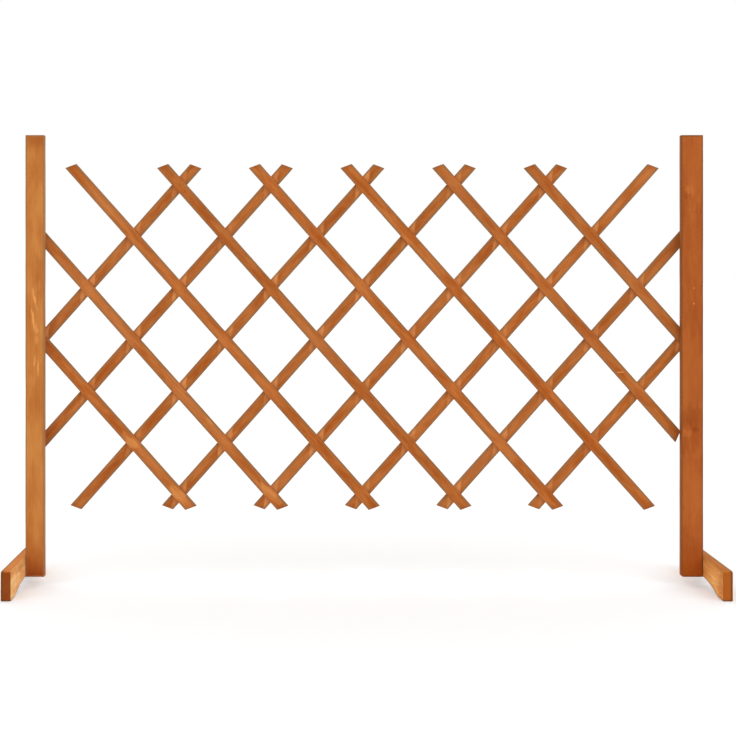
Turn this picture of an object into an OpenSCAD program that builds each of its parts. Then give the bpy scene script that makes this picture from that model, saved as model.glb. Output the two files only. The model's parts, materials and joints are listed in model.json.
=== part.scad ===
// Free-standing expanding trellis: a lattice of crossed slats, pinned as a scissor linkage,
// between two posts that stand on arched feet. Sizes are in millimetres.
// X runs along the fence, Y from front to back and Z up. The ground is at height zero,
// and the origin is on the ground at the middle of the fence.

/* [Lattice] */
// Distance between neighbouring pin holes along a slat
hole_spacing = 139; // [120:1:150]
// Angle of the slats above the horizontal as the fence stands
lattice_angle = 48.4; // [35:0.1:60]
// Height of the middle row of pins, where the posts carry the lattice
pivot_height = 490; // [470:1:520]

/* [Slats] */
// Width of a slat's face
slat_width = 22.5; // [16:0.5:28]
// Thickness of a slat
slat_thickness = 7; // [5:0.5:10]
// Free length of a slat above its top pin row
top_overhang = 50; // [30:1:70]
// Free length of a slat below its bottom pin row
bottom_overhang = 36; // [20:1:60]
// Length that a slat runs on behind a post, past the line of the post's pivot
post_overhang = 15; // [12:1:18]
// Distance by which the one short slat stops before the right post's pivot line
short_end_gap = 17; // [10:1:40]
// Slat angle at which all free ends were sawn level
trim_angle = 69; // [60:1:85]
// Angle off square of the short slat's lower end
short_trim_angle = 25; // [0:1:35]

/* [Posts] */
// Height of the posts' tops above the ground
post_top = 900; // [860:1:1000]
// Width of the left post, seen from the front
left_post_width = 38; // [34:1:50]
// Width of the right post, seen from the front
right_post_width = 44; // [34:1:50]
// Depth of a post, from front to back
post_depth = 16; // [14:1:40]
// Distance from a post's inner face to its pivot
pivot_inset = 9; // [5:0.5:12]

/* [Feet] */
// Length of a foot, from front to back
foot_length = 300; // [260:1:400]
// Height of a foot
foot_height = 58; // [50:1:80]
// Thickness of a foot
foot_thickness = 19; // [14:1:26]
// Height of the arch under a foot, which is also how far the posts stand off the ground
arch_height = 16; // [10:1:20]
// Length of the pad at each end of a foot
pad_length = 38; // [20:1:50]
// Radius of the upper corners of a foot
foot_corner_radius = 4; // [2:0.5:10]

/* [Pins] */
// Diameter of a pin
pin_diameter = 3.5; // [2.5:0.1:4.5]
// Diameter of a pin's head
pin_head_diameter = 7; // [5:0.1:9]
// Height of a pin's head
pin_head_height = 1.2; // [0.8:0.1:2]
// Wood left in front of a pin that ends inside a front slat
pin_skin = 1.8; // [1:0.1:2.5]
// Depth of the pivot pins in the posts
pivot_bite = 11; // [8:0.5:12]

/* [Foot screws] */
// Diameter of a screw's shank
screw_diameter = 4; // [3:0.1:5]
// Diameter of a screw's countersunk head
screw_head_diameter = 8; // [6.5:0.1:10]
// Length of a screw inside the post
screw_bite = 26; // [18:1:30]
// Width of the slots of the cross recess
recess_width = 0.9; // [0.6:0.1:1.2]
// Span of the cross recess
recess_span = 4.4; // [3:0.1:5]
// Depth of the cross recess
recess_depth = 1.4; // [0.8:0.1:1.8]

/* [Fits] */
// Radial clearance of a pin that turns in its hole
running_clearance = 0.08; // [0.04:0.01:0.1]
// Radial and end clearance of a pin or screw that is held tight
press_clearance = 0.02; // [0.01:0.01:0.04]
// Radial clearance of a screw in its foot
screw_clearance = 0.2; // [0.1:0.05:0.5]
// Play between flat faces that slide on each other
layer_play = 0.3; // [0.2:0.05:0.5]

/* [Hidden] */
$fn = 64;
overrun = 1;

// Counts: the lattice is this many half cells long, and has this many rows of half cells
columns = 14;
rows = 6;
half_columns = columns / 2;
half_rows = rows / 2;
// Number of the front slat that is cut short beside the right post
short_slat = 7;

// Places of the two foot screws, as shares of the height that foot and post have in common
screw_height_shares = [0.28, 0.72];

// Half a cell, along and up
cell_x = hole_spacing * cos(lattice_angle);
cell_z = hole_spacing * sin(lattice_angle);
top_row_z = pivot_height + half_rows * cell_z;

// The posts' outer faces lie equally far from the middle of the fence, and the middle of the
// lattice gives way to the wider post
post_outer_x = half_columns * cell_x - pivot_inset + (left_post_width + right_post_width) / 2;
lattice_x = (left_post_width - right_post_width) / 2;

// Layers, from front to back
post_back = post_depth / 2;
front_slat_back = post_back + layer_play + slat_thickness;
rear_slat_back = front_slat_back + layer_play + slat_thickness;
head_seat = rear_slat_back + layer_play;

// Holes and pins
pin_radius = pin_diameter / 2;
running_radius = pin_radius + running_clearance;
press_radius = pin_radius + press_clearance;
blind_depth = slat_thickness - pin_skin;
screw_radius = screw_diameter / 2;
screw_head_radius = screw_head_diameter / 2;
screw_head_depth = screw_head_radius - screw_radius;
screw_point = screw_diameter;

// Slope of the sawn ends, as run along the slat for each step across it
trim_slope = cos(trim_angle) / sin(trim_angle);
short_trim_slope = -tan(short_trim_angle);

// Half the width of the arch between the pads, and the radius of its round underside
arch_half = foot_length / 2 - pad_length;
arch_radius = (arch_half * arch_half + arch_height * arch_height) / (2 * arch_height);

// A slat falls to the right through the lattice points whose column is its row plus the start.
// Rear slats are the mirror image of front slats.
function front_start(number) = 2 * number - half_rows - 2;
function rear_start(number) = columns - 1 - 2 * number;

// Row of a slat's first and last pin, and of the lattice points nearest its ends
function first_pin_row(start) = max(0, (half_rows - start) / 2);
function last_pin_row(start) = min(rows, (columns + half_rows - start) / 2);
function upper_end_row(start) = max(0, -start);
function lower_end_row(start) = min(rows, columns - start);

// True where a lattice point lies on a post's pivot
function on_post(start, row) = start + row == 0 || start + row == columns;

// Puts its children in the lattice, whose own middle is at zero
module in_lattice() {
    translate([lattice_x, 0, 0])
        children();
}

// Puts its children at a lattice point, given as column and row, with Z turned to the back
module at_point(column, row) {
    translate([(column - half_columns) * cell_x, 0, top_row_z - row * cell_z])
        rotate([-90, 0, 0])
            children();
}

// A round hole that starts at one depth and ends at another, from front to back
module bore(radius, from_y, to_y) {
    translate([0, 0, from_y])
        cylinder(h = to_y - from_y, r = radius);
}

// A pin with its head at the back of the lattice and its tip at a given depth
module pin(tip_y) {
    translate([0, 0, tip_y])
        cylinder(h = head_seat - tip_y, r = pin_radius);
    translate([0, 0, head_seat])
        cylinder(h = pin_head_height, r = pin_head_diameter / 2);
}

// The sawn bar of a slat, lying along its own length with its top pin row at zero
module slat_outline(start, is_short) {
    upper_cut = start < 0 ? post_overhang : top_overhang;
    cut_at_post = columns - start < rows;
    lower_cut = is_short ? -short_end_gap : cut_at_post ? post_overhang : bottom_overhang;
    upper_end = upper_end_row(start) * hole_spacing - upper_cut;
    lower_end = lower_end_row(start) * hole_spacing + lower_cut;
    edge = slat_width / 2;
    lower_slope = is_short ? short_trim_slope : trim_slope;
    polygon([
        [upper_end - edge * trim_slope, -edge],
        [lower_end - edge * lower_slope, -edge],
        [lower_end + edge * lower_slope, edge],
        [upper_end + edge * trim_slope, edge]
    ]);
}

module slat_bar(start, back_y, is_short = false) {
    translate([(start - half_columns) * cell_x, back_y, top_row_z])
        rotate([0, lattice_angle, 0])
            rotate([90, 0, 0])
                linear_extrude(slat_thickness)
                    slat_outline(start, is_short);
}

// A front slat: pins end blind in it, but a post's pivot pin goes right through
module front_slat(number) {
    start = front_start(number);
    color("#bb662d")
        in_lattice()
            difference() {
                slat_bar(start, front_slat_back, number == short_slat);
                for (row = [first_pin_row(start) : last_pin_row(start)])
                    at_point(start + row, row)
                        if (on_post(start, row))
                            bore(running_radius, post_back - overrun, front_slat_back + overrun);
                        else
                            bore(press_radius, front_slat_back - blind_depth, front_slat_back + overrun);
            }
}

// A rear slat: every pin goes right through it and lets it turn
module rear_slat(number) {
    start = rear_start(number);
    color("#ad5a27")
        in_lattice()
            mirror([1, 0, 0])
                difference() {
                    slat_bar(start, rear_slat_back);
                    for (row = [first_pin_row(start) : last_pin_row(start)])
                        at_point(start + row, row)
                            bore(running_radius, front_slat_back - overrun, rear_slat_back + overrun);
                }
}

// The pins that one front slat carries
module slat_pins(number) {
    start = front_start(number);
    color("#8d8a84")
        in_lattice()
            for (row = [first_pin_row(start) : last_pin_row(start)])
                if (!on_post(start, row))
                    at_point(start + row, row)
                        pin(front_slat_back - blind_depth + press_clearance);
}

// Puts its children at the two screws of the right foot, with Z along a screw into the post
module at_screws() {
    for (share = screw_height_shares)
        translate([post_outer_x + foot_thickness, 0, arch_height + share * (foot_height - arch_height)])
            rotate([0, -90, 0])
                children();
}

// A countersunk screw from its head at zero to its point, made larger all round by a clearance
module screw_body(clearance) {
    shank = foot_thickness + screw_bite - screw_point;
    cylinder(h = screw_head_depth, r1 = screw_head_radius + clearance, r2 = screw_radius + clearance);
    cylinder(h = shank, r = screw_radius + clearance);
    translate([0, 0, shank])
        cylinder(h = screw_point, r1 = screw_radius + clearance, r2 = clearance);
}

module screw() {
    difference() {
        screw_body(0);
        for (turn = [0, 90])
            rotate([0, 0, turn])
                translate([-recess_span / 2, -recess_width / 2, -overrun])
                    cube([recess_span, recess_width, recess_depth + overrun]);
    }
}

// A post on the right, with its pivot hole in the back and its screw holes in the outer side
module post(width) {
    inner_x = post_outer_x - width;
    difference() {
        translate([inner_x, -post_depth / 2, arch_height])
            cube([width, post_depth, post_top - arch_height]);
        translate([inner_x + pivot_inset, 0, pivot_height])
            rotate([-90, 0, 0])
                bore(press_radius, post_back - pivot_bite, post_back + overrun);
        at_screws()
            screw_body(press_clearance);
    }
}

// Side view of a foot: round upper corners, two pads and the arch between them
module foot_outline() {
    half = foot_length / 2;
    inset = half - foot_corner_radius;
    shoulder = foot_height - foot_corner_radius;
    difference() {
        union() {
            translate([-half, 0])
                square([foot_length, shoulder]);
            translate([-inset, 0])
                square([2 * inset, foot_height]);
            for (side = [-1, 1])
                translate([side * inset, shoulder])
                    circle(r = foot_corner_radius);
        }
        translate([0, arch_height - arch_radius])
            circle(r = arch_radius, $fn = 4 * $fn);
    }
}

module foot() {
    difference() {
        translate([post_outer_x, 0, 0])
            rotate([90, 0, 90])
                linear_extrude(foot_thickness)
                    foot_outline();
        at_screws()
            screw_body(screw_clearance);
    }
}

module right_post() { color("#af5b25") post(right_post_width); }
module left_post() { color("#c47a3c") mirror([1, 0, 0]) post(left_post_width); }
module right_foot() { color("#b8652c") foot(); }
module left_foot() { color("#b8652c") mirror([1, 0, 0]) foot(); }
module right_foot_screws() { color("#b5ab8c") at_screws() screw(); }
module left_foot_screws() { color("#b5ab8c") mirror([1, 0, 0]) at_screws() screw(); }

module pivot_pin(column) {
    color("#8d8a84")
        in_lattice()
            at_point(column, half_rows)
                pin(post_back - pivot_bite + press_clearance);
}

left_post();
right_post();
left_foot();
right_foot();
front_slat(1);  // front_slat_1
front_slat(2);  // front_slat_2
front_slat(3);  // front_slat_3
front_slat(4);  // front_slat_4
front_slat(5);  // front_slat_5
front_slat(6);  // front_slat_6
front_slat(7);  // front_slat_7
front_slat(8);  // front_slat_8
rear_slat(1);  // rear_slat_1
rear_slat(2);  // rear_slat_2
rear_slat(3);  // rear_slat_3
rear_slat(4);  // rear_slat_4
rear_slat(5);  // rear_slat_5
rear_slat(6);  // rear_slat_6
rear_slat(7);  // rear_slat_7
rear_slat(8);  // rear_slat_8
slat_pins(1);  // slat_pins_1
slat_pins(2);  // slat_pins_2
slat_pins(3);  // slat_pins_3
slat_pins(4);  // slat_pins_4
slat_pins(5);  // slat_pins_5
slat_pins(6);  // slat_pins_6
slat_pins(7);  // slat_pins_7
slat_pins(8);  // slat_pins_8
pivot_pin(0);  // left_pivot_pin
pivot_pin(columns);  // right_pivot_pin
left_foot_screws();
right_foot_screws();
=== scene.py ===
# %% [markdown]
# # A folding lattice fence
# The CAD model fixes where each slat, post and foot sits and how the lattice folds. This lesson
# gives those pieces their look: sawn, eased and stained boards, nails and screws. The solids could
# simply be painted, but CAD edges are perfectly sharp, and real boards are not. So each board is
# built again as its own mesh, at the place and the size of the solid that it stands for.

# %% Load the fixed frame
import json
import math
import random

import bmesh
import bpy
import numpy as np
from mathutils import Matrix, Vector


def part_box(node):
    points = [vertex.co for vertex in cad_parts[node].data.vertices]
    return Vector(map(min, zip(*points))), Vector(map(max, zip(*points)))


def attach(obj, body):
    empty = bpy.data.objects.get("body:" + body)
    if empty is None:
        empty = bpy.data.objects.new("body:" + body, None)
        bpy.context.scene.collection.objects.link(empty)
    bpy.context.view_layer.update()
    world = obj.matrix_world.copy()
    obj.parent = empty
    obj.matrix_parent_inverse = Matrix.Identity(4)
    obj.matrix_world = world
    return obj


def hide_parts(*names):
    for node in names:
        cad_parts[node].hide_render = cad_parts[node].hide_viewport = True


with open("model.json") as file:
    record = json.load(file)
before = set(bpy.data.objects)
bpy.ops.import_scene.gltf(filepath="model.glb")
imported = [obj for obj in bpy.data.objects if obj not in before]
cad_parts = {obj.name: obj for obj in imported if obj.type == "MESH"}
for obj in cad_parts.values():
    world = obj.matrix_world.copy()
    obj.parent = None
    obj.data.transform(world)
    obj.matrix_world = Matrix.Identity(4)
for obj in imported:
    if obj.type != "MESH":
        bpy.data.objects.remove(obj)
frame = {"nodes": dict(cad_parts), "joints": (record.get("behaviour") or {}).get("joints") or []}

scene = bpy.context.scene
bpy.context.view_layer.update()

# %% [markdown]
# ## Measuring the lattice
# The slats are drilled at equal steps, and a nail at each crossing lets the two layers turn. The
# hinges of the frame lie on such crossings, so two of them give the step and the angle of the
# slats. Reading them, instead of typing them, keeps the dressed slats on the solids.

# %% Find the step and the angle
pivots = {joint["name"]: Vector(joint["pos_m"]) for joint in frame["joints"]}
left_pivot = pivots["lattice_fold"]
first_step = pivots["front_slat_2_pivot"] - left_pivot
hole_spacing = first_step.length
lattice_angle = math.atan2(first_step.z, first_step.x)
print("hole spacing", round(hole_spacing, 4), "angle", round(math.degrees(lattice_angle), 2))

# %% [markdown]
# ## The camera
# The fence is seen almost square on. Its posts are upright in the picture and show a little of
# their inner sides, and the feet open outwards. A tilted camera would make the posts lean, so this
# one looks straight ahead and its frame is shifted, as with a view camera. Two pixels of the frame
# place it: the middle of the fence on the ground, and the point straight ahead of the camera.

# %% Stand the camera
image_size = 736
sensor_width = 36.0
metres_per_pixel = 0.002
camera_distance = 2.93
ground_pixel = (364.3, 585.0)
ahead_pixel = (315.0, 261.0)

post_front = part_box("left_post")[0].y
camera_data = bpy.data.cameras.new("camera")
camera_data.sensor_width = sensor_width
camera_data.lens = camera_distance / metres_per_pixel / image_size * sensor_width
camera_data.shift_x = 0.5 - ahead_pixel[0] / image_size
camera_data.shift_y = ahead_pixel[1] / image_size - 0.5
camera = bpy.data.objects.new("camera", camera_data)
camera.location = (
    (ahead_pixel[0] - ground_pixel[0]) * metres_per_pixel,
    post_front - camera_distance,
    (ground_pixel[1] - ahead_pixel[1]) * metres_per_pixel,
)
camera.rotation_euler = (math.pi / 2, 0, 0)
scene.collection.objects.link(camera)
scene.camera = camera
print("lens", round(camera_data.lens, 1), "at", [round(value, 3) for value in camera.location])

# %% [markdown]
# ## Helpers for shader nodes
# Wood is drawn by nodes: noise for the grain, arithmetic for edges and ends. Clicking them together
# by hand is slow to repeat for every kind of board, so a few short functions add a node, a sum, a
# mix or some noise, and each returns a socket that the next one can take.

# %% Add nodes from code
def fill(tree, socket, value):
    """Links a socket to another socket, or writes a plain value into it."""
    if isinstance(value, bpy.types.NodeSocket):
        tree.links.new(value, socket)
    else:
        socket.default_value = value


def add_node(tree, kind, inputs=None, **settings):
    """Adds a node with its settings and fills the inputs given by name or number."""
    made = tree.nodes.new(kind)
    for name, value in settings.items():
        setattr(made, name, value)
    for name, value in (inputs or {}).items():
        fill(tree, made.inputs[name], value)
    return made


def reckon(tree, operation, *terms):
    """A sum on one, two or three numbers."""
    made = add_node(tree, "ShaderNodeMath", dict(enumerate(terms)), operation=operation)
    return made.outputs[0]


def scaled(tree, value, factor, offset):
    """A value times a factor, plus an offset."""
    return reckon(tree, "MULTIPLY_ADD", value, factor, offset)


def times(tree, product, *factors):
    """The product of sockets and numbers."""
    for factor in factors:
        product = reckon(tree, "MULTIPLY", product, factor)
    return product


# %% Mix colours and soften steps
mix_first = 6
mix_second = 7
mix_result = 2


def tint(tree, share, first, second):
    """Mixes two colours by a share from 0 to 1. A mix node has its colours at these numbers."""
    inputs = {0: share, mix_first: first, mix_second: second}
    return add_node(tree, "ShaderNodeMix", inputs, data_type="RGBA").outputs[mix_result]


def soft_step(tree, value, low, high):
    """Goes smoothly from 0 at low to 1 at high."""
    inputs = {"Value": value, "From Min": low, "From Max": high}
    made = add_node(tree, "ShaderNodeMapRange", inputs, interpolation_type="SMOOTHSTEP")
    return made.outputs["Result"]


def soft_fade(tree, value, full, gone):
    """Goes smoothly from 1 at full to 0 at gone."""
    return soft_step(tree, value, gone, full)


def shade(red, green, blue):
    """A colour as a picture editor shows it, turned into the linear values of a shader."""
    linear = [
        part / 12.92 if part <= 0.04045 else ((part + 0.055) / 1.055) ** 2.4
        for part in (red / 255, green / 255, blue / 255)
    ]
    return (*linear, 1.0)


# %% Draw noise in a stretched place
noise_middle = 0.5


def stretched(tree, place, factors):
    """Multiplies the three coordinates of a place, each by its own factor."""
    inputs = {0: place, 1: factors}
    return add_node(tree, "ShaderNodeVectorMath", inputs, operation="MULTIPLY").outputs[0]


def speckle(tree, place, stretch, detail=2.0, roughness=0.5):
    """Noise whose grain size is set along, across and through the board, in cycles a metre."""
    inputs = {"Vector": stretched(tree, place, stretch), "Scale": 1.0}
    inputs.update({"Detail": detail, "Roughness": roughness})
    return add_node(tree, "ShaderNodeTexNoise", inputs).outputs["Fac"]


def unevenness(tree, place, stretch):
    """Noise about zero, which pushes an edge out and in."""
    return reckon(tree, "SUBTRACT", speckle(tree, place, stretch), noise_middle)


# %% Begin and end a material
def new_material(name):
    """A material without nodes, and its tree."""
    material = bpy.data.materials.new(name)
    material.use_nodes = True
    material.node_tree.nodes.clear()
    return material, material.node_tree


def show_surface(tree, shader):
    """Leads a shader to the output of its material."""
    add_node(tree, "ShaderNodeOutputMaterial", {"Surface": shader.outputs[0]})


# %% [markdown]
# ## Floor and light
# The fence stands in a plain white room. Four soft lamps, one from each corner, reach its front, its
# back and the sides of the feet alike, and the white surroundings fill the rest, at a level where
# stain renders as it is mixed.
# The floor keeps its soft shadow, and a little glow that only the camera and reflections see lifts
# it to the white of the room behind.

# %% Make the white room
white = (1.0, 1.0, 1.0, 1.0)
room_light = 0.36
lamps = {
    "front_left_lamp": (0.9, -45),
    "front_right_lamp": (1.14, 45),
    "back_left_lamp": (0.9, -135),
    "back_right_lamp": (0.9, 135),
}
lamp_softness = math.radians(50)
lamp_height = math.radians(36)


def seen_directly(tree):
    """1 for what the camera, a mirror or a glass sees, 0 for light that falls on things."""
    path = add_node(tree, "ShaderNodeLightPath")
    either = reckon(tree, "MAXIMUM", path.outputs["Is Camera Ray"], path.outputs["Is Glossy Ray"])
    return reckon(tree, "MAXIMUM", either, path.outputs["Is Transmission Ray"])


world = bpy.data.worlds.new("white_room")
world.use_nodes = True
room = world.node_tree
room.nodes.clear()
glow = scaled(room, seen_directly(room), 1.0 - room_light, room_light)
background = add_node(room, "ShaderNodeBackground", {"Color": white, "Strength": glow})
add_node(room, "ShaderNodeOutputWorld", {"Surface": background.outputs[0]})
scene.world = world

for name, (strength, side) in lamps.items():
    lamp_data = bpy.data.lights.new(name, "SUN")
    lamp_data.energy = strength
    lamp_data.angle = lamp_softness
    lamp = bpy.data.objects.new(name, lamp_data)
    lamp.rotation_euler = (math.pi / 2 - lamp_height, 0, math.radians(side))
    scene.collection.objects.link(lamp)
scene.view_settings.view_transform = "Standard"
print("lamps", lamps, "room", room_light)

# %% Lay the floor
floor_reach = 40.0
floor_colour = (0.80, 0.80, 0.80, 1.0)
floor_lift = 0.21
floor_drop = 0.0002

floor_mesh = bmesh.new()
bmesh.ops.create_grid(floor_mesh, x_segments=2, y_segments=2, size=floor_reach)
floor_data = bpy.data.meshes.new("floor")
floor_mesh.to_mesh(floor_data)
floor_mesh.free()
floor = bpy.data.objects.new("floor", floor_data)
floor.location.z = -floor_drop
scene.collection.objects.link(floor)

floor_paint, paint = new_material("floor_paint")
matt = add_node(paint, "ShaderNodeBsdfDiffuse", {"Color": floor_colour})
lift = times(paint, seen_directly(paint), floor_lift)
glowing = add_node(paint, "ShaderNodeEmission", {"Color": white, "Strength": lift})
both = add_node(paint, "ShaderNodeAddShader", {0: matt.outputs[0], 1: glowing.outputs[0]})
show_surface(paint, both)
floor_data.materials.append(floor_paint)
print("floor", floor_reach * 2, "m wide")

# %% [markdown]
# ## Boards
# All the wood here is sawn board with lightly eased arrises: thin slats, flat posts and thicker
# feet. A cube with a bevel would do for one board, but not for skewed ends, an arched foot or edges
# that wander a little. So a board is lofted: eased cross-sections are set out along it and skinned.

# %% Draw one cross-section
arris_steps = 3
tightest_bend = 0.00005


def section(low, high, front, back, radii, inset=0.0):
    """Points round a board, as (across, through), with one corner radius for each corner."""
    low, high, front, back = low + inset, high - inset, front + inset, back - inset
    corners = ((high, back, -1, -1), (low, back, 1, -1), (low, front, 1, 1), (high, front, -1, 1))
    points = []
    for quarter, ((across, through, right, up), radius) in enumerate(zip(corners, radii)):
        bend = max(radius - inset, tightest_bend)
        for step in range(arris_steps + 1):
            turn = (quarter + step / arris_steps) * math.pi / 2
            side = across + bend * (right + math.cos(turn))
            level = through + bend * (up + math.sin(turn))
            points.append((side, level))
    return points


# %% Set out the cross-sections
end_band = 2.6


def stations(length, step, ease):
    """Distances along a board and the inset of its skin there, which eases the ends as well."""
    turns = [count / arris_steps * math.pi / 2 for count in range(arris_steps + 1)]
    start = [(ease * (1 - math.cos(turn)), ease * (1 - math.sin(turn))) for turn in turns]
    band = ease * end_band
    start.append((band, 0.0))
    count = max(1, round((length - 2 * band) / step))
    middle = [(band + (length - 2 * band) * place / count, 0.0) for place in range(1, count)]
    finish = [(length - distance, inset) for distance, inset in reversed(start)]
    return start + middle + finish


# %% Skin the cross-sections
def skin(name, rings):
    """Joins rings of points into a closed mesh and puts it in the scene."""
    mesh = bmesh.new()
    rows = [[mesh.verts.new(point) for point in ring] for ring in rings]
    around = len(rows[0])
    for row, following in zip(rows, rows[1:]):
        for place in range(around):
            beside = (place + 1) % around
            mesh.faces.new((row[place], row[beside], following[beside], following[place]))
    mesh.faces.new(rows[0])
    mesh.faces.new(rows[-1])
    return place_mesh(name, mesh)


def place_mesh(name, mesh):
    """Turns a bmesh into an object with outward faces."""
    bmesh.ops.recalc_face_normals(mesh, faces=mesh.faces)
    data = bpy.data.meshes.new(name)
    mesh.to_mesh(data)
    mesh.free()
    piece = bpy.data.objects.new(name, data)
    scene.collection.objects.link(piece)
    return piece


# %% [markdown]
# ## Edges that wander
# A saw never runs quite true. Each board gets a few slow waves of a tenth of a millimetre or two,
# different for every board but the same at every run, because each board seeds its own numbers.

# %% Give each board its own waves
wave_lengths = (0.57, 0.21, 0.083)
wave_shares = (0.55, 0.3, 0.15)
seed_step = 10


def wander(seed):
    """A slow wave between -1 and 1 along a board."""
    draw = random.Random(seed)
    starts = [draw.uniform(0, 2 * math.pi) for _ in wave_lengths]

    def wave(distance):
        return sum(
            share * math.sin(2 * math.pi * distance / length + start)
            for length, share, start in zip(wave_lengths, wave_shares, starts)
        )

    return wave


def several_waves(seed, count):
    """Waves that differ, for the sides of one board."""
    return [wander(seed * seed_step + kind) for kind in range(count)]


# %% [markdown]
# ## Turned pieces and drilled holes
# A nail is round, so it is lathed: a profile of depth and radius goes round an axis. The same lathe
# makes the drill for each hole of a nail or a screw, which a Boolean takes out of the wood. Without
# real holes the nails would pass through solid board.

# %% Turn a profile round an axis
turned_sides = 24


def lathe(mesh, base, axis, profile):
    """Adds a turned solid to a bmesh. The profile is (depth, radius) and starts and ends at radius 0."""
    axis = Vector(axis).normalized()
    first = axis.orthogonal().normalized()
    second = axis.cross(first)
    turns = [2 * math.pi * side / turned_sides for side in range(turned_sides)]
    spokes = [math.cos(turn) * first + math.sin(turn) * second for turn in turns]
    rows = []
    for depth, radius in profile:
        centre = Vector(base) + axis * depth
        if radius == 0:
            rows.append([mesh.verts.new(centre)] * turned_sides)
        else:
            rows.append([mesh.verts.new(centre + radius * spoke) for spoke in spokes])
    for row, following in zip(rows, rows[1:]):
        for side in range(turned_sides):
            beside = (side + 1) % turned_sides
            loop = (row[side], row[beside], following[beside], following[side])
            mesh.faces.new(tuple(dict.fromkeys(loop)))


def straight_hole(radius, depth):
    """The profile of a plain drill."""
    return [(0, 0), (0, radius), (depth, radius), (depth, 0)]


# %% Take the holes out of a board
def drill(piece, drills):
    """Cuts turned holes, each given as (base, axis, profile), out of a piece."""
    mesh = bmesh.new()
    for base, axis, profile in drills:
        lathe(mesh, base, axis, profile)
    bit = place_mesh("drill_bit", mesh)
    cut = piece.modifiers.new("holes", "BOOLEAN")
    cut.operation = "DIFFERENCE"
    cut.solver = "EXACT"
    cut.object = bit
    graph = bpy.context.evaluated_depsgraph_get()
    drilled = bpy.data.meshes.new_from_object(piece.evaluated_get(graph))
    whole = piece.data
    piece.modifiers.clear()
    piece.data = drilled
    drilled.name = whole.name
    bpy.data.meshes.remove(whole)
    bpy.data.objects.remove(bit)


# %% [markdown]
# ## What the stain needs to know
# Grain runs along the board, stain gathers at the arrises and soaks into the sawn ends. The shader
# can't know where a board begins, so each board stores that at its points: its own coordinates, the
# same shifted at random for the grain, how far the ends have drunk stain, and a tone, because no two
# boards of a batch take the stain alike.

# %% Store board coordinates on a piece
grain_spread = 3.0
pith_nearest = 0.03
pith_farthest = 0.09


def store(piece, name, values):
    """Writes one value, or one vector, for each point of a piece."""
    values = np.asarray(values, np.float32)
    kind, field = ("FLOAT_VECTOR", "vector") if values.ndim > 1 else ("FLOAT", "value")
    attribute = piece.data.attributes.new(name, kind, "POINT")
    attribute.data.foreach_set(field, values.ravel())


def stored(tree, name, kind="Fac"):
    """Reads in a shader what the points of a piece store."""
    return add_node(tree, "ShaderNodeAttribute", attribute_name=name).outputs[kind]


def note_grain(piece, origin, axes, seed, soak):
    """Stores what the stain needs to know, and returns the board coordinates of the points."""
    points = np.empty(len(piece.data.vertices) * 3)
    piece.data.vertices.foreach_get("co", points)
    points = points.reshape(-1, 3) - np.array(origin)
    place = points @ np.array([list(axis) for axis in axes]).T
    draw = random.Random(seed)
    turn = draw.uniform(0, 2 * math.pi)
    pith = draw.uniform(pith_nearest, pith_farthest)
    shift = (draw.uniform(0, grain_spread), pith * math.cos(turn), pith * math.sin(turn))
    store(piece, "board_place", place)
    store(piece, "grain_place", place + np.array(shift))
    store(piece, "end_soak", [soak(*row) for row in place])
    store(piece, "board_tone", np.full(len(place), draw.uniform(-1, 1)))
    return place


# %% [markdown]
# ## Finishing a piece
# Eased arrises have to look round and the wide faces flat. Smooth shading with weighted normals does
# that, and true corners stay sharp. Then the piece takes its material and is hung on the body of the
# frame that it moves with, and the solid that it stands for is hidden.

# %% Finish a piece
sharp_angle = math.radians(40)


def smooth(piece):
    """Shades a piece smooth, apart from its true corners."""
    piece.data.shade_smooth()
    piece.data.set_sharp_from_angle(angle=sharp_angle)


def flatten_faces(piece):
    """Keeps the wide faces of a smooth board flat."""
    smooth(piece)
    even = piece.modifiers.new("flat_faces", "WEIGHTED_NORMAL")
    even.keep_sharp = True


def finish_piece(piece, material, body, node):
    """Gives a piece its material, hangs it on its body and hides the solid that it stands for."""
    piece.data.materials.append(material)
    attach(piece, body)
    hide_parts(node)


# %% [markdown]
# ## Stained softwood
# The whole fence is cheap softwood, dipped in an orange-brown stain. The stain is blotchy, lighter
# in some places and darker in others, and browner on sawn ends. The arrises are browner too, partly
# from stain and partly as painted shade. A picture of wood would repeat on every slat. Noise in
# board coordinates makes every board different and runs through its thickness, so sides and ends
# match the face.

# %% Draw the growth rings
ring_bend_stretch = (3.0, 16.0, 16.0)
ring_pitch = 0.0032
ring_bend = 0.007
ring_sharpness = 2.0
across_grain = (0.0, 1.0, 1.0)


def growth_rings(tree, grain):
    """Rings round the pith of the log, bent by noise: 0 in early wood, 1 in late wood."""
    radial = stretched(tree, grain, across_grain)
    reach = add_node(tree, "ShaderNodeVectorMath", {0: radial}, operation="LENGTH")
    bend = speckle(tree, grain, ring_bend_stretch)
    bent = scaled(tree, bend, ring_bend, reach.outputs["Value"])
    wave = reckon(tree, "SINE", times(tree, bent, 2 * math.pi / ring_pitch))
    return reckon(tree, "POWER", scaled(tree, wave, 0.5, 0.5), ring_sharpness)


# %% [markdown]
# A stain is a set of named colours. Dark and light are its blotches, pale and deep its drifts and
# streaks, and side, rim and soaked are the narrow sides, the arrises and the sawn ends. The rim is
# partly stain and partly painted shade along the edges. A board's looks say how strongly each of
# them shows, so that one shader serves slats, posts and feet.

# %% Lay the ground colour
blotch_noise = (2.5, 0.75)
blotch_range = (0.3, 0.7)
drift_stretch = (4.0, 14.0, 14.0)
drift_range = (0.5, 0.78)
streak_stretch = (4.0, 170.0, 170.0)
streak_noise = (2.0, 0.55)
pale_range = (0.5, 0.72)
deep_range = (0.46, 0.28)
fibre_range = (0.48, 0.72)
fibre_shade = shade(165, 98, 52)
late_wood = shade(150, 84, 44)
tone_spread = 0.06


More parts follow.
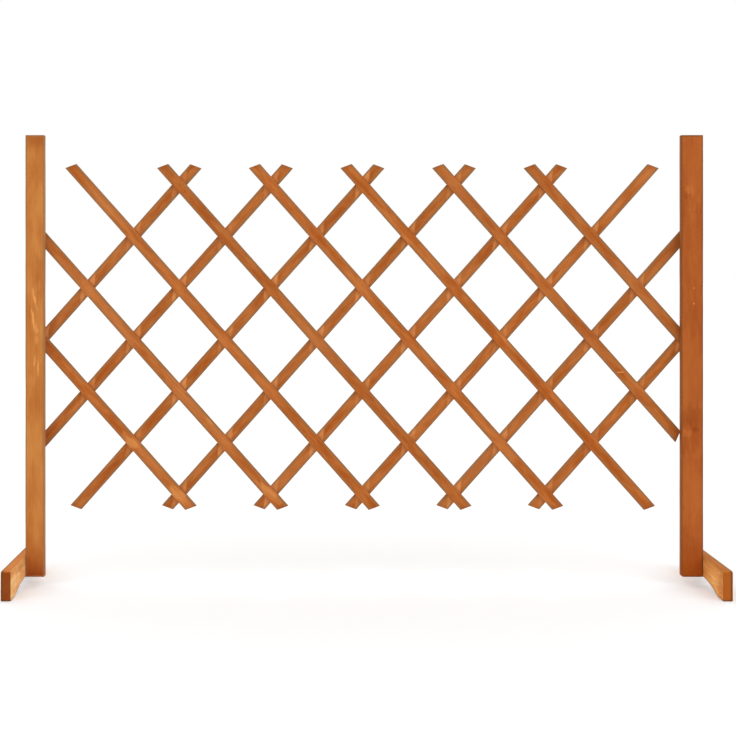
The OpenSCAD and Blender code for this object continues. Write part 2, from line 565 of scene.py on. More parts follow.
def ground_colour(tree, grain, fibres, rings, colours, looks):
    """Blotches, long drifts, streaks, rings and fibres, before any mark or edge."""
    blotch = speckle(tree, grain, looks["blotch"], *blotch_noise)
    drift = speckle(tree, grain, drift_stretch)
    streak = speckle(tree, grain, streak_stretch, *streak_noise)
    colour = tint(tree, soft_step(tree, blotch, *blotch_range), colours["dark"], colours["light"])
    for look, share, over in (
        ("drift", soft_step(tree, drift, *drift_range), colours["pale"]),
        ("streak", soft_step(tree, streak, *pale_range), colours["pale"]),
        ("streak", soft_step(tree, streak, *deep_range), colours["deep"]),
        ("rings", rings, late_wood),
        ("fibres", soft_step(tree, fibres, *fibre_range), fibre_shade),
    ):
        colour = tint(tree, times(tree, share, looks[look]), colour, over)
    tone = scaled(tree, stored(tree, "board_tone"), tone_spread, 1.0)
    inputs = {0: colour, "Scale": tone}
    return add_node(tree, "ShaderNodeVectorMath", inputs, operation="SCALE").outputs[0]


# %% [markdown]
# A board can carry marks: a streak of pale sapwood, the dark cloud round a knot, a scratch. Each is
# a soft oval on the face that pulls the stain towards one colour. Noise frays its border along the
# grain, because a clean oval would look painted on. A mark is written as its place along and across
# the board, its half length and half width, how far it leans, its strength and its colour.

# %% Put a mark on a board
mark_core = 0.35
mark_fray = 1.8
mark_fray_stretch = (60.0, 220.0, 220.0)


def mark_share(tree, parts, fray, along, across, half_length, half_width, lean):
    """1 in the middle of an oval mark, 0 outside it."""
    run = reckon(tree, "SUBTRACT", parts.outputs["X"], along)
    side = reckon(tree, "SUBTRACT", parts.outputs["Y"], across)
    side = scaled(tree, run, -lean, side)
    run = reckon(tree, "POWER", reckon(tree, "DIVIDE", run, half_length), 2.0)
    side = reckon(tree, "POWER", reckon(tree, "DIVIDE", side, half_width), 2.0)
    reach = reckon(tree, "SQRT", reckon(tree, "ADD", run, side))
    reach = scaled(tree, fray, mark_fray, reach)
    return soft_fade(tree, reach, mark_core, 1.0)


# %% [markdown]
# The lattice was stained while it was nearly folded up. Where the slats lay over each other then,
# the inner faces stayed paler, and stretched out to its show width the fence uncovers a paler
# corner beside every crossing, here more and there less. The pale corner is partly painted light
# too: it lifts the shade that the crossing slat casts beside it.

# %% Keep the wood pale beside the crossings, partly as painted light
stained_angle = math.radians(72)
cover_edge = 0.0022
cover_spread = 0.0008
cover_jitter = 0.006
cover_jitter_stretch = (45.0, 160.0, 160.0)
cover_change_stretch = (6.0, 20.0, 20.0)
cover_change_range = (0.36, 0.62)
cover_least = 0.38
cover_change = 0.6


def overlap_share(tree, parts, grain, angle, half_width, facing):
    """1 where the slats of the other layer lie over this one, with the lattice at that angle."""
    along = reckon(tree, "WRAP", parts.outputs["X"], hole_spacing / 2, -hole_spacing / 2)
    run = times(tree, along, -facing * math.sin(2 * angle))
    offset = scaled(tree, parts.outputs["Y"], math.cos(2 * angle), run)
    offset = reckon(tree, "ABSOLUTE", offset)
    ragged = unevenness(tree, grain, cover_jitter_stretch)
    offset = scaled(tree, ragged, cover_jitter, offset)
    over = soft_fade(tree, offset, half_width - cover_edge, half_width + cover_edge)
    return times(tree, over, stored(tree, "nailed_stretch"))


def covered_and_lit_share(tree, parts, grain, half_width, facing):
    """1 on the pale corners: wood that the other layer lay on while it was stained, and painted light
    that lifts the shade beside each crossing. Facing is the side that it lay on.
    """
    inside = overlap_share(tree, parts, grain, stained_angle, half_width + cover_spread, facing)
    near_side = reckon(tree, "GREATER_THAN", times(tree, parts.outputs["Z"], facing), 0.0)
    change = soft_step(tree, speckle(tree, grain, cover_change_stretch), *cover_change_range)
    amount = scaled(tree, change, cover_change, cover_least)
    return times(tree, inside, near_side, amount)


# %% [markdown]
# Stain dries browner and duller on the narrow sides and at the sawn ends. The rims along every
# arris are browner too, partly from stain and partly as painted shade, a dark line along the edges,
# and handling has rubbed a few spots of the arrises down to bare wood. All of it depends on how far
# a point lies from the nearest arris, so that distance is worked out first.

# %% Find the nearest arris
def arris_distance(tree, parts, across, through, ends):
    """How far the nearest arris is: the middle one of the distances to sides, faces and ends."""
    nearer = reckon(tree, "MINIMUM", across, through)
    farther = reckon(tree, "MAXIMUM", across, through)
    if ends is None:
        return farther
    start = reckon(tree, "SUBTRACT", parts.outputs["X"], ends[0])
    finish = reckon(tree, "SUBTRACT", ends[1], parts.outputs["X"])
    reach = reckon(tree, "MINIMUM", start, finish)
    return reckon(tree, "MAXIMUM", nearer, reckon(tree, "MINIMUM", farther, reach))


# %% Stain the narrow sides, and paint the rims with stain and shade
narrow_side = (0.0002, 0.0008)
outer_face = (0.0001, 0.0004)
upper_reach = 0.022
rim_jitter_stretch = (45.0, 160.0, 160.0)
rim_fade = 0.004
under_line = (0.0014, 0.0034)


def side_share(tree, parts, across, size, looks):
    """1 on the narrow sides, and part of it under the upper edge of a foot."""
    share = times(tree, soft_fade(tree, across, *narrow_side), looks["side"])
    if "upper" not in looks:
        return share
    upper = soft_step(tree, parts.outputs["Y"], size[0] - upper_reach, size[0])
    return reckon(tree, "MAXIMUM", share, times(tree, upper, looks["upper"]))


def rim_share(tree, parts, grain, edge, through, looks):
    """1 along the arrises, partly stain and partly painted shade. A foot has its rim on the outer side
    and along its lower edge.
    """
    jitter = unevenness(tree, grain, rim_jitter_stretch)
    ragged = scaled(tree, jitter, looks["rim_width"] / 2, edge)
    if "thin_outside" in looks:
        outside = soft_fade(tree, through, *outer_face)
        thinned = scaled(tree, outside, looks["thin_outside"], 1.0)
        ragged = times(tree, ragged, thinned)
    rim = soft_fade(tree, ragged, looks["rim_full"], looks["rim_width"])
    if "rim_from" in looks:
        rim_from = looks["rim_from"]
        outer = soft_step(tree, parts.outputs["Z"], rim_from, rim_from + rim_fade)
        # Along a foot's lower edge, over the arch, the rim is a dark line of stain and painted shade.
        under = soft_fade(tree, stored(tree, "under_height"), *under_line)
        rim = reckon(tree, "MAXIMUM", times(tree, rim, outer), under)
    return times(tree, rim, looks["rim"])


# %% Stain the edges and paint shade along them
crossed_cover = 0.85
worn_stretch = (55.0, 300.0, 300.0)
worn_range = (0.66, 0.76)
worn_edge = (0.0002, 0.0012)
worn_strength = 0.45
bare_wood = shade(226, 168, 104)


def stain_and_shade_edges(tree, colour, parts, grain, colours, size, looks, crossed, ends):
    """Narrow sides, sawn ends, rims of stain and painted shade, and rubbed arrises. Crossed is where no
    rim shows.
    """
    across = reckon(tree, "SUBTRACT", size[0], reckon(tree, "ABSOLUTE", parts.outputs["Y"]))
    through = reckon(tree, "SUBTRACT", size[1], reckon(tree, "ABSOLUTE", parts.outputs["Z"]))
    edge = arris_distance(tree, parts, across, through, ends)
    colour = tint(tree, side_share(tree, parts, across, size, looks), colour, colours["side"])
    colour = tint(tree, stored(tree, "end_soak"), colour, colours["soaked"])
    # The rim is partly stain and partly painted shade, a dark line along every edge.
    rim = rim_share(tree, parts, grain, edge, through, looks)
    if crossed is not None:
        rim = times(tree, rim, scaled(tree, crossed, -crossed_cover, 1.0))
    colour = tint(tree, rim, colour, colours["rim"])
    worn = soft_step(tree, speckle(tree, grain, worn_stretch), *worn_range)
    rubbed = soft_fade(tree, edge, *worn_edge)
    return tint(tree, times(tree, worn, rubbed, worn_strength), colour, bare_wood)


# %% Give the wood its surface
wood_sheen = 0.06
wood_roughness = 0.5
fibre_roughness = 0.24
ring_relief = 0.35
wood_bump = {"Strength": 0.5, "Distance": 0.0004}


def finish_wood(tree, colour, fibres, rings):
    """A dull stained surface, with raised late wood and open fibres."""
    roughness = scaled(tree, fibres, fibre_roughness, wood_roughness)
    relief = scaled(tree, rings, ring_relief, fibres)
    bump = add_node(tree, "ShaderNodeBump", {**wood_bump, "Height": relief})
    inputs = {"Base Color": colour, "Roughness": roughness, "Normal": bump.outputs["Normal"]}
    surface = add_node(tree, "ShaderNodeBsdfPrincipled", inputs)
    surface.inputs["Specular IOR Level"].default_value = wood_sheen
    show_surface(tree, surface)


# %% Mix the stain
fibre_stretch = (16.0, 520.0, 520.0)
fibre_noise = (4.0, 0.6)
fibre_break = (0.9, 0.35)


def stained_wood(name, colours, size, looks, marks=(), facing=0, ends=None):
    """A stained board. Size is half the width and half the depth, looks are shares and widths."""
    material, tree = new_material(name)
    place = stored(tree, "board_place", "Vector")
    grain = stored(tree, "grain_place", "Vector")
    parts = add_node(tree, "ShaderNodeSeparateXYZ", {"Vector": place})
    fibres = speckle(tree, grain, fibre_stretch, *fibre_noise)
    rings = growth_rings(tree, grain)
    colour = ground_colour(tree, grain, fibres, rings, colours, looks)
    broken = scaled(tree, fibres, *fibre_break)
    fray = unevenness(tree, grain, mark_fray_stretch) if marks else None
    for *oval, strength, mark_colour in marks:
        share = mark_share(tree, parts, fray, *oval)
        colour = tint(tree, times(tree, share, broken, strength), colour, mark_colour)
    crossed = None
    if facing:
        # The pale corner colour is partly painted light, lifting the shade beside each crossing.
        covered = covered_and_lit_share(tree, parts, grain, size[0], facing)
        colour = tint(tree, times(tree, covered, broken), colour, colours["covered"])
        crossed = overlap_share(tree, parts, grain, lattice_angle, size[0] + cover_edge, facing)
    colour = stain_and_shade_edges(tree, colour, parts, grain, colours, size, looks, crossed, ends)
    finish_wood(tree, colour, fibres, rings)
    print(name, "uses", len(tree.nodes), "nodes")
    return material


def stain(**colours):
    """A set of stain colours by name."""
    return {name: shade(*colour) for name, colour in colours.items()}


# %% [markdown]
# ## Where the nails go
# Every crossing between the posts has one nail. The solids of the nails are separate lumps at
# lattice points, so rounding their corners to the nearest point counts them and places them.

# %% Read the nails from the frame
cell_x = hole_spacing * math.cos(lattice_angle)
cell_z = hole_spacing * math.sin(lattice_angle)
slat_count = 8
inward = {"left": 1, "right": -1}


def lattice_points(node):
    """The crossings, as points in the plane of the lattice, that a node of nails has."""
    found = set()
    for vertex in frame["nodes"][node].data.vertices:
        column = round((vertex.co.x - left_pivot.x) / cell_x)
        row = round((vertex.co.z - left_pivot.z) / cell_z)
        found.add((column, row))
    return [
        Vector((left_pivot.x + column * cell_x, 0, left_pivot.z + row * cell_z))
        for column, row in sorted(found)
    ]


slat_nails = {f"slat_pins_{n}": lattice_points(f"slat_pins_{n}") for n in range(1, slat_count + 1)}
post_nails = {f"{side}_pivot_pin": lattice_points(f"{side}_pivot_pin") for side in inward}
post_crossings = sum(post_nails.values(), [])
crossings = sum(slat_nails.values(), []) + post_crossings
print("crossings", len(crossings))

# %% [markdown]
# ## The slats
# Eight slats fall to the right in front and eight rise to the right behind. They are the same sawn
# lath, cut to length with ends that lie nearly level when the fence is open. The corners of each
# solid give its ends, and the loft runs from one end to the other.

# %% Measure a slat
back_axis = Vector((0, 1, 0))
near_edge = 0.0005


def slat_layer(facing, seed):
    """The directions along, across and through the slats of a layer, and the side it is covered on."""
    run_x, run_z = math.cos(lattice_angle), facing * math.sin(lattice_angle)
    axes = (Vector((run_x, 0, -run_z)), Vector((run_z, 0, run_x)), back_axis)
    return {"axes": axes, "facing": facing, "seed": seed}


def measure_slat(node, axes):
    """The ends of a slat at its low and high edge, its edges across, and its faces."""
    along, across, _ = axes
    points = [vertex.co for vertex in frame["nodes"][node].data.vertices]
    heights = [point.dot(across) for point in points]
    low, high = min(heights), max(heights)
    ends = []
    for edge in (low, high):
        runs = [p.dot(along) for p, h in zip(points, heights) if abs(h - edge) < near_edge]
        ends.append((min(runs), max(runs)))
    depths = [point.y for point in points]
    return {"ends": ends, "edges": (low, high), "faces": (min(depths), max(depths))}


layers = {"front_slat": slat_layer(1, 100), "rear_slat": slat_layer(-1, 200)}
first_lath = measure_slat("front_slat_1", layers["front_slat"]["axes"])
lath_size = [(high - low) / 2 for low, high in (first_lath["edges"], first_lath["faces"])]
print("lath", [round(half * 2, 4) for half in lath_size])

# %% Loft a slat
slat_arris = 0.0009
slat_step = 0.009
slat_wander = 0.00022
slat_bow = 0.00008


def loft_slat(name, size, axes, seed):
    """A slat with eased edges and skewed ends, before it is drilled."""
    along, across, back_way = axes
    (low_start, low_end), (high_start, high_end) = size["ends"]
    low, high = size["edges"]
    front, back = size["faces"]
    side_wave, width_wave, face_wave = several_waves(seed, 3)
    length = (low_end + high_end - low_start - high_start) / 2
    rings = []
    for distance, inset in stations(length, slat_step, slat_arris):
        shift = slat_wander * side_wave(distance)
        swell = slat_wander / 2 * width_wave(distance)
        bow = slat_bow * face_wave(distance)
        edges = (low + shift - swell, high + shift + swell, front + bow, back + bow)
        ring = []
        for height, level in section(*edges, [slat_arris] * 4, inset):
            share = (height - low) / (high - low)
            start = low_start + (high_start - low_start) * share
            end = low_end + (high_end - low_end) * share
            run = start + (end - start) * distance / length
            ring.append(along * run + across * height + back_way * level)
        rings.append(ring)
    return skin(name, rings)


# %% [markdown]
# The nails come from behind. They pass through the rear slats and end inside the front ones, so the
# front of the fence shows no nail. Only the two long nails at the posts go through both layers.

# %% Drill a slat
hole_radius = 0.00183
drill_overrun = 0.001
blind_skin = 0.0018


def slat_crossings(size, axes):
    """The crossings that lie on a slat."""
    along, across, _ = axes
    middle = sum(size["edges"]) / 2
    start, end = size["ends"][0]
    return [
        point for point in crossings
        if abs(point.dot(across) - middle) < near_edge and start < point.dot(along) < end
    ]


def drill_slat(piece, holes, faces, blind):
    """Drills the crossings of a slat. Blind holes stop inside the wood, except at the posts."""
    front, back = faces
    drills = []
    for point in holes:
        through = not blind or point in post_crossings
        start = front - drill_overrun if through else front + blind_skin
        profile = straight_hole(hole_radius, back + drill_overrun - start)
        drills.append((Vector((point.x, start, point.z)), back_axis, profile))
    drill(piece, drills)


# %% [markdown]
# The sawn ends of the laths have drunk stain for a few millimetres and are darker there. That is
# stored as a fade from each end. Three laths have marks of their own: pale sapwood at the lower
# crossings on the left, and one light scratch on the right.

# %% Stain colours of the slats
# The rim colour is partly painted shade along the edges, and the pale corner colour beside the crossings
# is partly painted light.
lath_colours = stain(
    dark=(172, 85, 24), light=(199, 117, 56), pale=(210, 134, 76), deep=(164, 84, 32),
    covered=(234, 154, 90), side=(128, 78, 42), rim=(152, 110, 71), soaked=(120, 64, 30),
)
lath_looks = dict(
    blotch=(15.0, 62.0, 62.0), drift=0.5, streak=0.22, rings=0.16, fibres=0.34,
    side=0.6, rim=0.85, rim_full=0.0004, rim_width=0.0074,
)
sap = shade(236, 158, 88)
lath_marks = {
    "front_slat_1": [
        (1.95 * hole_spacing, -0.003, 0.026, 0.0130, 0.15, 0.6, sap),
        (2.97 * hole_spacing, -0.002, 0.028, 0.0130, 0.15, 0.6, sap),
    ],
    "front_slat_2": [
        (3.95 * hole_spacing, 0.001, 0.036, 0.0110, 0.1, 0.6, sap),
        (1.8 * hole_spacing, 0.0075, 0.020, 0.0022, 0.0, 0.8, sap),
        (2.6 * hole_spacing, 0.0060, 0.018, 0.0020, 0.0, 0.7, sap),
    ],
    "front_slat_7": [(3.63 * hole_spacing, 0.0, 0.0070, 0.0018, 1.13, 1.2, sap)],
}
end_fade = 0.002
end_strength = 0.75


def lath_soak(start, end, slope):
    """How much the sawn ends have drunk, for a slat between two ends that are cut at a slope."""

    def soak(along, across, through):
        skewed = along - across * slope
        distance = max(0.0, min(skewed - start, end - skewed))
        return end_strength * math.exp(-distance / end_fade)

    return soak


# %% Make one slat
def make_slat(node, layer, wood, seed):
    """Lofts, drills and stains a slat. Its board coordinates start at its first nail."""
    axes = layer["axes"]
    along, across, back_way = axes
    size = measure_slat(node, axes)
    piece = loft_slat(node + "_lath", size, axes, seed)
    holes = slat_crossings(size, axes)
    drill_slat(piece, holes, size["faces"], blind=layer["facing"] > 0)
    runs = [point.dot(along) for point in holes]
    first, reach = min(runs), max(runs) - min(runs)
    middle, depth = (sum(size[pair]) / 2 for pair in ("edges", "faces"))
    origin = along * first + across * middle + back_way * depth
    start, end = ((low + high) / 2 - first for low, high in zip(*size["ends"]))
    slope = (size["ends"][1][0] - size["ends"][0][0]) / (2 * lath_size[0])
    place = note_grain(piece, origin, axes, seed, lath_soak(start, end, slope))
    nailed = abs(place[:, 0] - reach / 2) < (reach + hole_spacing) / 2
    store(piece, "nailed_stretch", nailed)
    flatten_faces(piece)
    finish_piece(piece, wood, node, node)
    print(node, "length", round(end - start, 3), "nailed over", round(reach, 3))


# %% Make both layers
lath_stain = (lath_colours, lath_size, lath_looks)
for kind, layer in layers.items():
    plain = stained_wood(f"{kind}_stain", *lath_stain, facing=layer["facing"])
    for number in range(1, slat_count + 1):
        node = f"{kind}_{number}"
        wood = plain
        if node in lath_marks:
            wood = stained_wood(f"{node}_stain", *lath_stain, lath_marks[node], layer["facing"])
        make_slat(node, layer, wood, layer["seed"] + number)

# %% [markdown]
# ## The posts
# Two upright posts stand in front of the lattice. They are flat boards with arrises just broken,
# and the right one is the wider. Their lower ends stood in the stain longer and are darker. The
# left post is the paler board, with short streaks of sapwood half way up. The right post is a
# redder board with a dark knot low down.

# %% Stain colours of the posts
# The rim colours are partly painted shade along the edges.
post_colours = {
    "left": stain(
        dark=(194, 115, 50), light=(211, 138, 69), pale=(226, 155, 85), deep=(172, 92, 38),
        side=(184, 130, 84), rim=(160, 116, 76), soaked=(149, 60, 9),
    ),
    "right": stain(
        dark=(168, 82, 30), light=(187, 100, 43), pale=(194, 110, 53), deep=(158, 74, 26),
        side=(146, 84, 42), rim=(130, 80, 42), soaked=(169, 80, 20),
    ),
}
post_looks = dict(
    drift=0.3, rings=0.14, fibres=0.32, side=0.8, rim=0.85, rim_full=0.0008, rim_width=0.0050,
)
post_figure = {
    "left": dict(streak=0.12, blotch=(11.0, 30.0, 30.0)),
    "right": dict(streak=0.16, blotch=(9.0, 34.0, 34.0)),
}

# %% Marks on the posts
knot = shade(146, 66, 22)
sunny = shade(206, 116, 56)
umber = shade(168, 88, 36)
post_marks = {
    "left": [
        (0.600, 0.0095, 0.014, 0.0034, 0.0, 0.5, sap),
        (0.573, -0.0006, 0.024, 0.0034, -0.21, 1.1, sap),
        (0.533, -0.0042, 0.019, 0.0034, -0.10, 1.3, sap),
        (0.511, 0.0028, 0.012, 0.0070, 0.0, 0.7, sap),
        (0.490, 0.0036, 0.010, 0.0060, 0.0, 0.5, sap),
        (0.446, -0.0004, 0.016, 0.0024, 0.0, 0.9, sap),
        (0.436, 0.0064, 0.022, 0.0036, 0.0, 0.9, sap),
        (0.625, 0.0100, 0.050, 0.0120, 0.0, 0.4, umber),
    ],
    "right": [
        (0.338, 0.0, 0.028, 0.0320, 0.0, 0.5, knot),
        (0.326, -0.0080, 0.013, 0.0140, 0.0, 0.4, knot),
        (0.311, 0.0060, 0.008, 0.0120, 0.3, 0.8, knot),
        (0.304, -0.0090, 0.012, 0.0120, 0.0, 0.5, sunny),
        (0.840, 0.0, 0.110, 0.0600, 0.0, 0.30, sunny),
        (0.180, 0.0, 0.120, 0.0600, 0.0, 0.30, sunny),
        (0.789, -0.0050, 0.013, 0.0120, 0.0, 0.7, sunny),
        (0.778, -0.0130, 0.010, 0.0060, 0.0, 0.6, knot),
        (0.746, 0.0080, 0.004, 0.0030, 0.0, 0.6, knot),
        (0.594, 0.0035, 0.003, 0.0022, 0.0, 0.8, sap),
        (0.563, 0.0035, 0.003, 0.0022, 0.0, 0.8, sap),
    ],
}
print("marks on the posts", {side: len(marks) for side, marks in post_marks.items()})

# %% Loft a post
post_arris = 0.0012
post_step = 0.012
post_wander = 0.0003
steady_foot = 0.1
lower_corner = {"left": 0.0, "right": 0.0045}


def rounded_off(distance, radius):
    """How far a rounded end corner has drawn in, at a distance from the end."""
    left = max(0.0, radius - distance)
    return radius - math.sqrt(radius * radius - left * left)


def loft_post(name, box, seed, inner, corner):
    """A post from its foot to its top. Inner is the side of the lattice, +1 or -1."""
    lowest, highest = box
    waves = several_waves(seed, 4)
    rings = []
    for distance, inset in stations(highest.z - lowest.z, post_step, post_arris):
        steady = post_wander * min(1, distance / steady_foot)
        shifts = [abs(steady * wave(distance)) for wave in waves]
        drawn = rounded_off(distance, corner)
        outline = section(
            lowest.x + shifts[0] + (drawn if inner < 0 else 0),
            highest.x - shifts[1] - (drawn if inner > 0 else 0),
            lowest.y + shifts[2] / 2,
            highest.y - shifts[3] / 2,
            [post_arris] * 4,
            inset,
        )
        rings.append([Vector((x, y, lowest.z + distance)) for x, y in outline])
    return skin(name, rings)


# %% Let the ends of the posts drink
post_foot, post_top = (corner.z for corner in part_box("left_post"))
foot_soak_height = 0.085
foot_soak_strength = 0.92
foot_soak_curve = 1.3
top_soak_height = 0.034
top_soak_gain = 1.6
top_soak_strength = {"left": 0.42, "right": 0.0}
end_line = 0.6
end_line_depth = 0.003


def post_soak(top_strength):
    """Dark at the foot of a post, darker at its top by a share, and along both sawn ends."""

    def soak(along, across, through):
        foot = 1 - min(1.0, max(0.0, (along - post_foot) / foot_soak_height))
        top = 1 - min(1.0, max(0.0, (post_top - along) / top_soak_height))
        sawn = max(0.0, 1 - min(along - post_foot, post_top - along) / end_line_depth)
        foot = foot_soak_strength * foot ** foot_soak_curve
        top = top_strength * min(1.0, top_soak_gain * top)
        return max(foot, top, end_line * min(1.0, sawn))

    return soak


# %% [markdown]
# Two screws go through each foot into its post. Their solids lie in one node, the one screw above
# the other, so a height half way between them parts their points. The head is the outermost point,
# and the length runs inwards from there.

# %% Read the screws from the frame
def read_screws(side):
    """Where the two screws of a foot begin and how long they are, the lower one first."""
    points = [vertex.co for vertex in frame["nodes"][f"{side}_foot_screws"].data.vertices]
    split = (min(p.z for p in points) + max(p.z for p in points)) / 2
    found = []
    for group in ([p for p in points if p.z < split], [p for p in points if p.z >= split]):
        heights = [point.z for point in group]
        runs = [point.x * inward[side] for point in group]
        head = Vector((min(runs) * inward[side], 0, (min(heights) + max(heights)) / 2))
        found.append((head, max(runs) - min(runs)))
    return found


screws = {side: read_screws(side) for side in inward}
print("screws", {side: [round(head.z, 4) for head, _ in pair] for side, pair in screws.items()})

# %% Drill and stand the posts
post_seeds = {"left": 301, "right": 302}
post_axes = (Vector((0, 0, 1)), Vector((1, 0, 0)), back_axis)
post_hole = 0.00177
hole_play = 0.00002
screw_radius = 0.002


def drill_post(piece, side, back):
    """Drills the hole of the long nail, and those of the two screws."""
    nail = post_nails[f"{side}_pivot_pin"][0]
    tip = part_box(f"{side}_pivot_pin")[0].y - hole_play
    profile = straight_hole(post_hole, back - tip + drill_overrun)
    drills = [(Vector((nail.x, tip, nail.z)), back_axis, profile)]
    for head, length in screws[side]:
        drills.append((head, (inward[side], 0, 0), straight_hole(screw_radius, length)))
    drill(piece, drills)


for side, seed in post_seeds.items():
    node = f"{side}_post"
    lowest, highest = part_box(node)
    piece = loft_post(node + "_board", (lowest, highest), seed, inward[side], lower_corner[side])
    drill_post(piece, side, highest.y)
    size = ((highest.x - lowest.x) / 2, (highest.y - lowest.y) / 2)
    looks = {**post_looks, **post_figure[side]}
    post_stain = (post_colours[side], size, looks, post_marks[side])
    wood = stained_wood(f"{side}_post_stain", *post_stain, ends=(post_foot, post_top))
    origin = Vector(((lowest.x + highest.x) / 2, (lowest.y + highest.y) / 2, 0))
    note_grain(piece, origin, post_axes, seed, post_soak(top_soak_strength[side]))
    flatten_faces(piece)
    finish_piece(piece, wood, node, node)
    print(node, "faces", len(piece.data.polygons))

# %% [markdown]
# ## The feet
# Each post is screwed to the inside of a short cross board that stands on two pads, with a shallow
# arch between them. The boards are paler than the posts on their wide sides, partly as painted
# light, and the left foot is painted paler than the right for the same reason. Their sawn ends are
# dark. The foot is lofted along its length: its lower edge follows the arch, and its upper edge
# drops at the rounded corners.

# %% Follow the arch
foot_low, foot_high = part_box("right_foot")
half_foot = (foot_high.y - foot_low.y) / 2
foot_thickness = foot_high.x - foot_low.x
ground_band = 0.0001
pad_points = [v.co for v in frame["nodes"]["right_foot"].data.vertices if v.co.z < ground_band]
arch_half = min(abs(point.y) for point in pad_points)
arch_height = post_foot
arch_radius = (arch_half ** 2 + arch_height ** 2) / (2 * arch_height)


def under_edge(y):
    """Height of the foot's lower edge: two pads on the ground and one round arch between them."""
    if abs(y) >= arch_half:
        return 0.0
    return arch_height - arch_radius + math.sqrt(arch_radius ** 2 - y ** 2)


print("arch", round(arch_height, 4), "high and", round(2 * arch_half, 4), "wide")

# %% Stain colours of the feet, with painted light on their wide sides
# The pale colours of the wide sides are partly painted light, the left foot's the most; the rim colour
# is partly painted shade along the edges.
foot_colours = {
    "left": stain(
        dark=(237, 152, 84), light=(250, 206, 138), pale=(250, 213, 150), deep=(206, 124, 57),
        side=(196, 110, 26), rim=(112, 72, 36), soaked=(142, 62, 12),
    ),
    "right": stain(
        dark=(233, 142, 66), light=(252, 188, 105), pale=(250, 197, 122), deep=(196, 112, 46),
        side=(170, 94, 18), rim=(112, 72, 36), soaked=(178, 93, 31),
    ),
}
foot_looks = dict(
    blotch=(18.0, 62.0, 62.0), drift=0.4, streak=0.14, rings=0.14, fibres=0.32, side=0.88,
    rim=0.85, rim_full=0.0030, rim_width=0.0056, rim_from=0.002, upper=0.42, thin_outside=2.5,
)
dull = shade(196, 116, 50)
foot_marks = {
    "left": [(-0.058, 0.015, 0.046, 0.0110, 0.0, 0.7, dull)],
    "right": [(-0.142, 0.0, 0.034, 0.0400, 0.0, 0.8, dull)],
}
foot_end_depth = 0.0024
foot_end_strength = 0.96


def foot_soak(along, across, through):
    """Dark on the two sawn ends only."""
    distance = max(0.0, half_foot - abs(along))
    return foot_end_strength * max(0.0, 1 - distance / foot_end_depth)


# %% Loft a foot
foot_arris = 0.0014
foot_top_arris = 0.0032
foot_step = 0.004
foot_sag = 0.0002
corner_radius = 0.004


def loft_foot(name, box, seed, inner):
    """A foot from its front end to its back end. Its outer upper arris is the rounder one."""
    lowest, highest = box
    wave = wander(seed)
    radii = [foot_arris] * 4
    radii[0 if inner < 0 else 3] = foot_top_arris
    arch_ends = [(half_foot - arch_half, 0.0), (half_foot + arch_half, 0.0)]
    rings = []
    for distance, inset in sorted(stations(2 * half_foot, foot_step, foot_arris) + arch_ends):
        y = distance - half_foot
        drop = rounded_off(half_foot - abs(y), corner_radius)
        top = highest.z - drop - foot_sag * (1 + wave(distance)) / 2
        outline = section(under_edge(y), top, lowest.x, highest.x, radii, inset)
        rings.append([Vector((x, y, z)) for z, x in outline])
    return skin(name, rings)


# %% Drill and lay the feet
foot_seeds = {"left": 401, "right": 402}
foot_size = ((foot_high.z - foot_low.z) / 2, foot_thickness / 2)
screw_head_radius = 0.004
clearance = 0.0002


def drill_foot(piece, side):
    """Drills the two countersunk holes of the screws."""
    wide, narrow = screw_head_radius + clearance, screw_radius + clearance
    through = foot_thickness + drill_overrun
    profile = [(-drill_overrun, 0), (-drill_overrun, wide), (0, wide), (wide - narrow, narrow)]
    profile += [(through, narrow), (through, 0)]
    drill(piece, [(head, (inward[side], 0, 0), profile) for head, _ in screws[side]])


for side, seed in foot_seeds.items():
    node = f"{side}_foot"
    lowest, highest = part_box(node)
    piece = loft_foot(node + "_board", (lowest, highest), seed, inward[side])
    drill_foot(piece, side)
    foot_stain = (foot_colours[side], foot_size, foot_looks, foot_marks[side])
    wood = stained_wood(f"{side}_foot_stain", *foot_stain, ends=(-half_foot, half_foot))
    centre = Vector(((lowest.x + highest.x) / 2, 0, (lowest.z + highest.z) / 2))
    foot_axes = (back_axis, Vector((0, 0, 1)), Vector((-inward[side], 0, 0)))
    place = note_grain(piece, centre, foot_axes, seed, foot_soak)
    heights = [across + centre.z - under_edge(along) for along, across, _ in place]
    store(piece, "under_height", heights)
    flatten_faces(piece)
    finish_piece(piece, wood, f"{side}_post", node)
    print(node, "faces", len(piece.data.polygons))

# %% [markdown]
# ## Metal
# The nails are plain bright steel, driven from behind, and the screws are yellow zinc. Both are a
# metal shader with fine noise: a little uneven in tint, duller where hands and weather reached it.

# %% Make the two metals
cloud_stretch = (700.0, 700.0, 700.0)
scratch_stretch = (3000.0, 900.0, 3000.0)
metal_noise = (3.0, 0.6)
cloud_range = (0.35, 0.7)
cloud_roughness = 0.25
metal_bump = {"Strength": 0.25, "Distance": 0.0001}


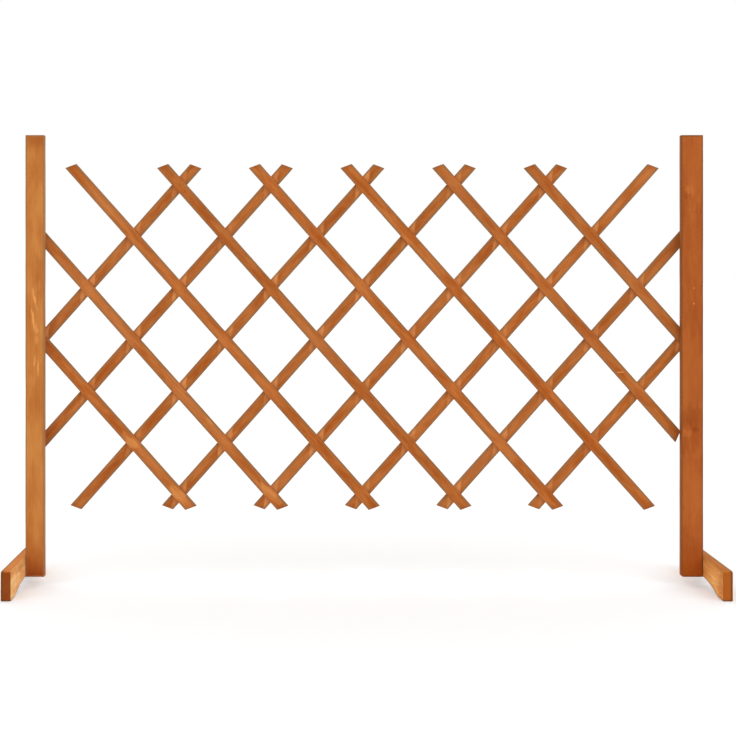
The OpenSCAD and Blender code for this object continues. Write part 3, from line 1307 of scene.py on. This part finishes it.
def worn_metal(name, bright, dim, roughness):
    """A metal with a blotchy tint and an uneven polish."""
    material, tree = new_material(name)
    place = add_node(tree, "ShaderNodeTexCoord").outputs["Object"]
    cloud = speckle(tree, place, cloud_stretch, *metal_noise)
    scratch = speckle(tree, place, scratch_stretch, *metal_noise)
    colour = tint(tree, soft_step(tree, cloud, *cloud_range), bright, dim)
    polish = scaled(tree, cloud, cloud_roughness, roughness)
    bump = add_node(tree, "ShaderNodeBump", {**metal_bump, "Height": scratch})
    inputs = {"Base Color": colour, "Roughness": polish, "Normal": bump.outputs["Normal"]}
    surface = add_node(tree, "ShaderNodeBsdfPrincipled", inputs)
    surface.inputs["Metallic"].default_value = 1.0
    show_surface(tree, surface)
    print(name, "uses", len(tree.nodes), "nodes")
    return material


nail_steel = worn_metal("nail_steel", (0.56, 0.55, 0.53, 1), (0.36, 0.33, 0.30, 1), 0.28)
screw_zinc = worn_metal("screw_zinc", (0.72, 0.58, 0.30, 1), (0.52, 0.44, 0.27, 1), 0.25)

# %% [markdown]
# ## The nails
# A nail has a low domed head, a shank and a blunt tip. All the nails of one front slat are one
# piece, as they move together, and the two long ones that pin the lattice to the posts are one
# piece each.

# %% Drive the nails
nail_radius = 0.00175
nail_head = 0.0035
tip_radius = 0.55 * nail_radius
tip_length = 0.6 * nail_radius
seat_gap = 0.00005
nail_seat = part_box("rear_slat_1")[1].y + seat_gap
head_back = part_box("slat_pins_1")[1].y
dome = ((1.0, 0.0), (1.0, 0.22), (0.93, 0.48), (0.76, 0.72), (0.5, 0.9), (0.22, 0.985), (0.0, 1.0))


def nail_profile(length):
    """Depth and radius from the blunt tip to the top of the domed head."""
    rise = head_back - nail_seat
    shank = [(0, 0), (0, tip_radius), (tip_length, nail_radius), (length, nail_radius)]
    return shank + [(length + rise * height, nail_head * wide) for wide, height in dome]


for node, points in {**slat_nails, **post_nails}.items():
    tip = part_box(node)[0].y
    mesh = bmesh.new()
    for point in points:
        lathe(mesh, Vector((point.x, tip, point.z)), back_axis, nail_profile(nail_seat - tip))
    piece = place_mesh(node + "_nails", mesh)
    smooth(piece)
    body = node.replace("_pivot_pin", "_post").replace("slat_pins", "front_slat")
    finish_piece(piece, nail_steel, body, node)
    print(node, "nails", len(points))

# %% [markdown]
# ## The screws
# Two countersunk screws hold each foot. Their solids already have the cone, the cross recess and
# the point, and only the heads show, so they stay and take the zinc finish.

# %% Plate the screws
for side in inward:
    solid = frame["nodes"][f"{side}_foot_screws"]
    solid.data.materials.clear()
    solid.data.materials.append(screw_zinc)
    print(solid.name, "plated")
